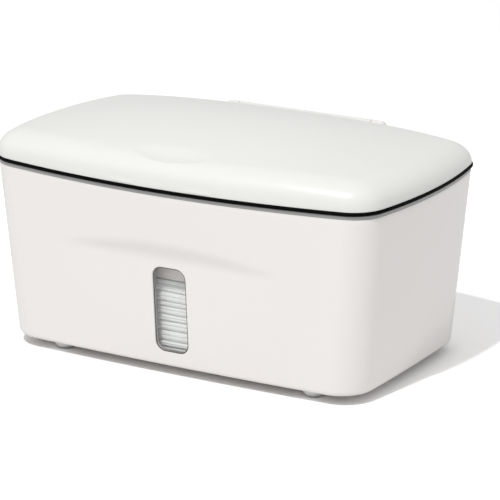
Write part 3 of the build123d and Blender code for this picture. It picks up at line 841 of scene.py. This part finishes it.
# %% Lid
lid_wall = 0.0024
lid = Shell()
outside = dome_rings(low=0.0002, pressed=lambda x, y: 0.0)
foot_ring = [(x, y, lid_edge) for x, y in outline_points(lid_edge, 0.0002)]
lid_rows = lid.stack([foot_ring] + outside)
grid_inside(lid, lid_rows[-1], lambda x, y: lid_edge + crown_height(x, y))
outside_faces = len(lid.faces)
inside = dome_rings(wall=lid_wall)
hollow_rows = [lid.ring(ring) for ring in inside]
for lower, upper in zip(hollow_rows, hollow_rows[1:]):
    lid.join(upper, lower)
grid_inside(lid, hollow_rows[-1], lambda x, y: lid_edge + crown_height(x, y, lid_wall) - push_spot(x, y),
            facing_down=True)
lid.join(hollow_rows[0], lid_rows[0])
lid_piece = make_piece("lid_dome", lid, "lid", lid_white)
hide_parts("lid_cover")

# %% [markdown]
# ## The push spot
# On the real lid the spot is deeper near its front, where its rim shows as a
# fine dark line, and its far side is bright. The dome's faces are too coarse
# for that, and a finer dome would waste faces everywhere else. So only the
# faces round the spot are divided again, smoothly, and then pressed down by
# the spot's formula.

# %% Press the spot
finer = bmesh.new()
finer.from_mesh(lid_piece.data)
finer.faces.ensure_lookup_table()
near_spot = []
reach_x, reach_y = push_half_length + 0.006, push_half_width + 0.005
for face in finer.faces[:outside_faces]:
    middle = face.calc_center_median() - Vector((0, tub_middle_y, 0))
    if abs(middle.x) < reach_x and abs(middle.y - push_y) < reach_y:
        near_spot.append(face)
edges = list({edge for face in near_spot for edge in face.edges})
bmesh.ops.subdivide_edges(finer, edges=edges, cuts=4, use_grid_fill=True, smooth=1.0)
finer.normal_update()
top_points = {point for face in finer.faces if face.normal.z > 0.2 for point in face.verts}
clear_of_edge = lid_edge + 0.003
for point in top_points:
    x, y = point.co.x, point.co.y - tub_middle_y
    if point.co.z > clear_of_edge:
        point.co.z -= push_spot(x, y, softness=0.14)
finer.to_mesh(lid_piece.data)
finer.free()
print("faces divided for the push spot:", len(near_spot))

# %% [markdown]
# ## Hinge knuckle on the lid
# The middle of the hinge belongs to the lid: a long barrel between the ears,
# joined to the dome's back by a web. A cylinder and a box would meet in a hard
# crease, so its section is drawn as one line, a circle that runs softly into
# the web's flat top, and that is pushed sideways.

# %% Knuckle
knuckle = Shell()
web_top, web_reach = 0.1123, 0.008
section = [(hinge_y - web_reach, hinge_z - barrel_radius)]
for a in sweep(-90, 90, 24):
    section.append((hinge_y + barrel_radius * math.cos(a), hinge_z + barrel_radius * math.sin(a)))
for i in range(1, 21):
    y = hinge_y - web_reach * i / 20
    off = hinge_y - y
    on_barrel = hinge_z + math.sqrt(max(barrel_radius**2 - off**2, 0.0))
    section.append((y, smooth_max(on_barrel, web_top, 0.0010)))
pushed_sideways(knuckle, section, -knuckle_end, knuckle_end)
knuckle_piece = make_piece("hinge_knuckle", knuckle, "lid", lid_white, sharp=30.0)
round_edges(knuckle_piece, 0.0004, limit=50.0)
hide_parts("lid_cover")

# %% [markdown]
# ## Feet
# Four soft round feet keep the tub from sliding. Each is a low round bump of
# milky silicone on a stem that sits in the tub's floor. A flattened ball would
# be close, but a profile turned about an upright axis gives the bump its flat
# underside and the stem in one go.

# %% Feet
def turned_upright(shell, x, y, profile, steps=48):
    """Profile of (radius, z) turned about an upright axis, from below to above."""
    turns = sweep(0, 360, steps)[:-1]
    rings = [[(x + r * math.cos(a), y + r * math.sin(a), z) for a in turns] for r, z in profile]
    shell.cap(shell.stack(rings))


foot_radius, foot_round = 0.0062, 0.0034
stem_radius = 0.0051
foot_profile = []
for a in sweep(-90, 0, 8):
    foot_profile.append((foot_radius - foot_round + foot_round * math.cos(a), foot_round * (1 + math.sin(a))))
foot_profile += [(foot_radius, 0.0050), (foot_radius - 0.0002, 0.0052), (stem_radius, 0.0053),
                 (stem_radius, 0.0062), (stem_radius - 0.0003, 0.0065)]
foot_x, foot_y = 0.0767, 0.0484
for name, x, y in (("front_left", -foot_x, -foot_y), ("front_right", foot_x, -foot_y),
                   ("rear_left", -foot_x, foot_y), ("rear_right", foot_x, foot_y)):
    foot = Shell()
    turned_upright(foot, x, y, foot_profile)
    foot_piece = make_piece("soft_foot_" + name, foot, "base", milky_silicone)
    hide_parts("foot_" + name)

# %% [markdown]
# ## The clear window
# The window is a clear plastic plug with a flange behind the wall, and its
# face is all but flush with the wall. A thin seal fills the gap round it and
# shows as a fine dark outline; its dark tone, and its lip near the face, stand
# partly for the seal itself and partly for painted shade of the gap. The plug
# could be a flat pane, but then its depth behind the wall would be missing, so
# it has its full thickness. Its plastic lets light and lamps straight through
# and only adds a breath of white.

# %% Window plug
def plain_flat(x, z, inset):
    """The leaning flat as a plane, without the wall's soft change-overs."""
    return flat_high_y + flat_slope * (z - tub_low - flat_high) + inset


def flat_rings(section):
    """The window's outline on the plain flat, for each (grow, depth) of a section."""
    return [window_ring(grow, depth, face=plain_flat) for grow, depth in section]


plug = Shell()
plug_section = [(0.0027, 0.0044), (0.0030, 0.0041), (0.0030, 0.0032), (-0.00055, 0.0032), (-0.00055, 0.0006),
                (-0.00065, 0.0004), (-0.00085, 0.0003)]
plug.cap(plug.stack(flat_rings(plug_section)))
plug_piece = make_piece("window_plug", plug, "base", clear_window, sharp=25.0)
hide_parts("window_lens")

# %% Window seal
seal_ring = Shell()
seal_section = [(0.0030, 0.00318), (0.0030, 0.00252), (0.0, 0.00252), (0.0, 0.00318)]
# This lip near the window's face shows as the dark outline: painted shade of the gap round the window.
gap_shade_lip = [(-0.00005, 0.0013), (-0.00005, 0.0006), (-0.0005, 0.0006), (-0.0005, 0.0013)]
for part in (seal_section, gap_shade_lip):
    seal_ring.stack(flat_rings(part), closed=True)
window_seal = make_piece("window_seal", seal_ring, "base", gap_shade_silicone)
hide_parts("window_gasket")

# %% [markdown]
# ## The pile of wipes
# Through the window the real pile shows as soft layers of uneven height, each
# a bundle of folded cloth with a round front edge. A block with stripes would
# look printed. Here each bundle is its own soft slab: its borders wave a
# little, its edges are round, and a shallow crease runs between two folds.
# Behind the window the front swells forward, as cloth does towards a gap.

# %% Wipes
pile_low, pile_high = 0.0081, 0.0513
pile_half_x, pile_half_y, pile_corner = 0.0961, 0.0552, 0.0020
front_swell, upper_swell, swell_reach = 0.0026, 0.0012, 0.060
least_corner = 0.0003
borders_from_top = [0.0, 0.0026, 0.0066, 0.0117, 0.0141, 0.0191, 0.0230, 0.0281,
                    0.0342, 0.0370, 0.0404, 0.0432]
borders = [pile_high - t for t in reversed(borders_from_top)]
wave_seed = 4


def pile_outline(inset):
    """Round-cornered rectangle of the pile, moved in by inset."""
    flat_x, flat_y_half = pile_half_x - pile_corner, pile_half_y - pile_corner
    radius = max(pile_corner - inset, least_corner)
    extra = max(inset - pile_corner + least_corner, 0.0)
    sides = [(0, -flat_x, -flat_y_half, 2 * flat_x, 96), (90, flat_x, -flat_y_half, 2 * flat_y_half, 56),
             (180, flat_x, flat_y_half, 2 * flat_x, 96), (270, -flat_x, flat_y_half, 2 * flat_y_half, 56)]
    points = []
    for heading, cx, cy, straight, steps in sides:
        h = math.radians(heading)
        along, out = (math.cos(h), math.sin(h)), (math.sin(h), -math.cos(h))
        places = [(straight * i / steps, radius - extra) for i in range(steps)]
        places += [(straight + radius * math.sin(a), radius * math.cos(a) - extra)
                   for a in sweep(0, 90, 4)[:-1]]
        points += [(cx + u * along[0] + v * out[0], cy + u * along[1] + v * out[1]) for u, v in places]
    return points


def border_height(k, x, y):
    """Height of the k-th border between bundles, which waves a little along the pile."""
    if k in (0, len(borders) - 1):
        return borders[k]
    wave = noise.noise(Vector((x * 22, y * 22, 3.7 * k + wave_seed)))
    tilt = 0.004 * noise.noise(Vector((1.3 * k, 0.5, wave_seed))) * x
    return borders[k] + 0.0007 * wave + tilt


def bundle_rings(k):
    """Rings of one bundle from its lower border to its upper one."""
    random.seed(100 + k)
    share_and_inset = [(0.0, 0.0016), (0.06, 0.0008), (0.18, 0.00025), (0.36, 0.0001), (0.47, 0.0002),
                       (0.52, 0.0005), (0.57, 0.0002), (0.68, 0.00008), (0.84, 0.0003), (0.95, 0.0009),
                       (1.0, 0.0016)]
    step_back = random.uniform(0.0, 0.0007)
    rings = []
    for share, inset in share_and_inset:
        ring = []
        for x, y in pile_outline(inset + step_back):
            low, high = border_height(k, x, y), border_height(k + 1, x, y)
            pull = 0.0004 * (0.5 + 0.5 * noise.noise(Vector((x * 60, y * 60, 11.0 * k))))
            size = math.hypot(x, y)
            rise = (low - pile_low) / (pile_high - pile_low)
            near_front = max(0.0, 1 - (x / swell_reach)**2) * max(0.0, -y / pile_half_y)
            swell = (front_swell + upper_swell * rise) * near_front
            ring.append((x - pull * x / size, y - pull * y / size - swell, low + (high - low) * share))
        rings.append(ring)
    return rings


pile = Shell()
for k in range(len(borders) - 1):
    pile.cap(pile.stack(bundle_rings(k)))
pile_piece = make_piece("wipe_pile", pile, "base", wipe_cloth, sharp=60.0)
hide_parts("wipe_stack")
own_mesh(pile_piece)
print("bundles in the pile:", len(borders) - 1)

# %% [markdown]
# ## The weighted plate
# A weighted plate lies on the pile and presses it down, and wipes come up
# through the soft lips in its middle. Its cover has a round edge, and the lips
# are rubber with a mouth that turns down into the slot. A boolean cut would
# make the slot too, but rings shade better: the cover's change from the tub's
# outline to the slot's, and all those of the lips follow the slot.

# %% Slot rings
def slot_ring(half_length, half_width, z, guide):
    """Round-ended slot with one point in the direction of each point of a guide outline."""
    ring = []
    longest = max(abs(x) for x, y in guide)
    deepest = max(abs(y) for x, y in guide)
    flat = half_length - half_width
    for x, y in guide:
        dx, dy = x / longest * half_length, y / deepest * half_width
        size = math.hypot(dx, dy)
        dx, dy = dx / size, dy / size
        reach = half_width / abs(dy) if abs(dy) > 1e-9 else 1e9
        if reach * abs(dx) > flat:
            across = flat * abs(dx)
            reach = across + math.sqrt(max(across**2 - flat**2 + half_width**2, 0.0))
        ring.append((reach * dx, reach * dy, z))
    return ring


plate_level = 0.0103
plate_inset = 0.0056
plate_seam, plate_high = 0.0570, 0.0589
guide = outline_points(plate_level, plate_inset)

# %% Plate cover
cover = Shell()
cover_edge = 0.0009
rings = [[(x, y, plate_seam) for x, y in guide]]
for a in sweep(0, 90, 5):
    rings.append([(x, y, plate_high - cover_edge + cover_edge * math.sin(a))
                  for x, y in outline_points(plate_level, plate_inset + cover_edge * (1 - math.cos(a)))])
rings.append([(x, y, plate_high) for x, y in outline_points(plate_level, plate_inset + 0.004)])
rings.append(slot_ring(0.0480, 0.0270, plate_high, guide))
rings.append(slot_ring(0.03245, 0.01145, plate_high, guide))
rings.append(slot_ring(0.03215, 0.01115, plate_high - 0.0003, guide))
rings.append(slot_ring(0.03215, 0.01115, plate_seam, guide))
cover.stack(rings, closed=True)
cover_piece = make_piece("plate_top", cover, "plate", plate_cream)
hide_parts("plate_cover")

# %% Lips
lips = Shell()
lips_low, lips_top = 0.0534, 0.0599
slot_length, slot_width = 0.0250, 0.0040
round_guide = [(math.cos(a), math.sin(a)) for a in sweep(0, 360, 120)[:-1]]
lip_section = [(0.0070, lips_low), (0.0070, plate_high), (0.0099, plate_high),
               (0.0100, plate_high + 0.0003), (0.0097, lips_top - 0.0003), (0.0091, lips_top),
               (0.0040, lips_top), (0.0018, lips_top - 0.0003), (0.0006, lips_top - 0.0012),
               (0.0001, lips_top - 0.0026), (0.0, lips_low + 0.0010), (0.0002, lips_low)]
lip_rings = [slot_ring(slot_length + out, slot_width + out, z, round_guide) for out, z in lip_section]
lips.stack(lip_rings, closed=True)
lips_piece = make_piece("wipe_lips", lips, "plate", grey_silicone)
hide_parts("dispensing_lips")

# %% [markdown]
# ## Finishes on the small inner pieces
# Screws, springs, the latch and the inner frame could be drawn again as well,
# but their edges are crisp on the real object too, so their CAD shapes stay
# and only get their finishes.

# %% Finishes on CAD nodes
finishes = {
    "rim_frame": inner_white, "lid_liner": inner_white,
    "plate_base": plate_cream, "plate_weight": screw_steel, "plate_screws": screw_steel,
    "lid_screws": screw_steel, "strike_plate": screw_steel, "strike_screw": screw_steel,
    "hinge_pin": screw_steel, "hinge_spring_left": wire_steel, "hinge_spring_right": wire_steel,
    "latch_housing": latch_grey, "latch_plunger": latch_grey, "latch_screws": screw_steel,
    "latch_magnet": plated_magnet, "latch_spring": wire_steel, "latch_cam_pin": wire_steel,
}
for node_name, material in finishes.items():
    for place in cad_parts[node_name].material_slots:
        place.link = "OBJECT"
        place.material = material
print("finished nodes:", len(finishes))

# %% [markdown]
# ## Floor and light
# The photograph has a white floor and background, light from high in front,
# and a short shadow to the right. One small lamp gives that shadow, and a pale
# world fills in evenly. More light would whiten the floor too, but it would
# wash out the tub. So floor and background are only brighter to the camera,
# and in gloss by a quarter of that: a mirror of pure white hides the push
# spot's rim. Under the tub the floor gives back less light, which keeps the
# shadow along its lower edge deep.

# %% What the camera and gloss see
def seen_directly(tree, in_gloss=0.25):
    """1 for a ray straight from the camera, a smaller share for a ray from gloss, else 0."""
    ray = add_node(tree, "LightPath").outputs
    share = add_node(tree, "Math", {1: in_gloss}, {0: ray["Is Glossy Ray"], 2: ray["Is Camera Ray"]},
                     operation="MULTIPLY_ADD")
    return share.outputs["Value"]


def shown_instead(tree, usual, seen, last_node):
    """Sends one shader to the last node, and another to it where it is seen directly."""
    sources = {"Fac": seen_directly(tree), 1: usual.outputs[0], 2: seen.outputs[0]}
    pick = add_node(tree, "MixShader", None, sources)
    tree.links.new(pick.outputs["Shader"], tree.nodes[last_node].inputs["Surface"])


# %% Floor
floor_reach = 4
# Under the tub the floor's colour is painted darker for the light it bounces: painted shade that deepens the
# shadow along the tub's lower edge.
painted_shade_under_tub, given_beside = 0.30, 0.88
floor_mesh = bpy.data.meshes.new("floor")
floor_corners = [(x * floor_reach, y * floor_reach, 0) for x, y in ((-1, -1), (1, -1), (1, 1), (-1, 1))]
floor_mesh.from_pydata(floor_corners, [], [(0, 1, 2, 3)])
floor = new_object("floor", floor_mesh)

floor_paper, tree, place = new_material("floor_paper", {})
tree.nodes.remove(tree.nodes["Principled BSDF"])
footprint = {"Scale": (1 / low_plan["half_width"], 1 / low_plan["half_depth"], 0)}
scaled = add_node(tree, "Mapping", footprint, {"Vector": place})
positive = add_node(tree, "VectorMath", None, {0: scaled.outputs["Vector"]}, operation="ABSOLUTE")
apart = add_node(tree, "SeparateXYZ", None, {"Vector": positive.outputs["Vector"]}).outputs
farther = add_node(tree, "Math", None, {0: apart["X"], 1: apart["Y"]}, operation="MAXIMUM")
# Mask of the tub's footprint, where the floor gets its painted shade.
border = {"From Min": 0.90, "From Max": 1.02, "To Min": painted_shade_under_tub, "To Max": given_beside}
bounce_with_painted_shade = add_node(tree, "MapRange", border, {"Value": farther.outputs["Value"]})
sheet_with_painted_shade = add_node(tree, "BsdfDiffuse", None, {"Color": bounce_with_painted_shade.outputs["Result"]})
seen_sheet = add_node(tree, "BsdfDiffuse", {"Color": (1.36, 1.345, 1.335, 1)})
shown_instead(tree, sheet_with_painted_shade, seen_sheet, "Material Output")
floor_mesh.materials.append(floor_paper)
print("floor ready")

# %% World
world = bpy.data.worlds.new("pale_room")
bpy.context.scene.world = world
world.use_nodes = True
tree = world.node_tree
room = tree.nodes["Background"]
room.inputs["Color"].default_value = (0.98, 0.99, 1.0, 1)
room.inputs["Strength"].default_value = 0.58
backdrop = add_node(tree, "Background", {"Color": (1, 1, 1, 1), "Strength": 1.0})
shown_instead(tree, room, backdrop, "World Output")
print("world ready")

# %% Lamp
lamp_place, lamp_target = Vector((0.09, -1.06, 1.74)), Vector((0, 0, 0.06))
lamp_power, lamp_side = 18.2, 0.06
lamp = new_object("front_lamp", bpy.data.lights.new("front_lamp", "AREA"))
lamp.location = lamp_place
lamp.rotation_euler = (lamp_place - lamp_target).to_track_quat("Z", "Y").to_euler()
lamp.data.energy = lamp_power
lamp.data.size = lamp_side
bpy.context.scene.view_settings.view_transform = "Standard"
print("lamp at", [round(c, 2) for c in lamp.location])
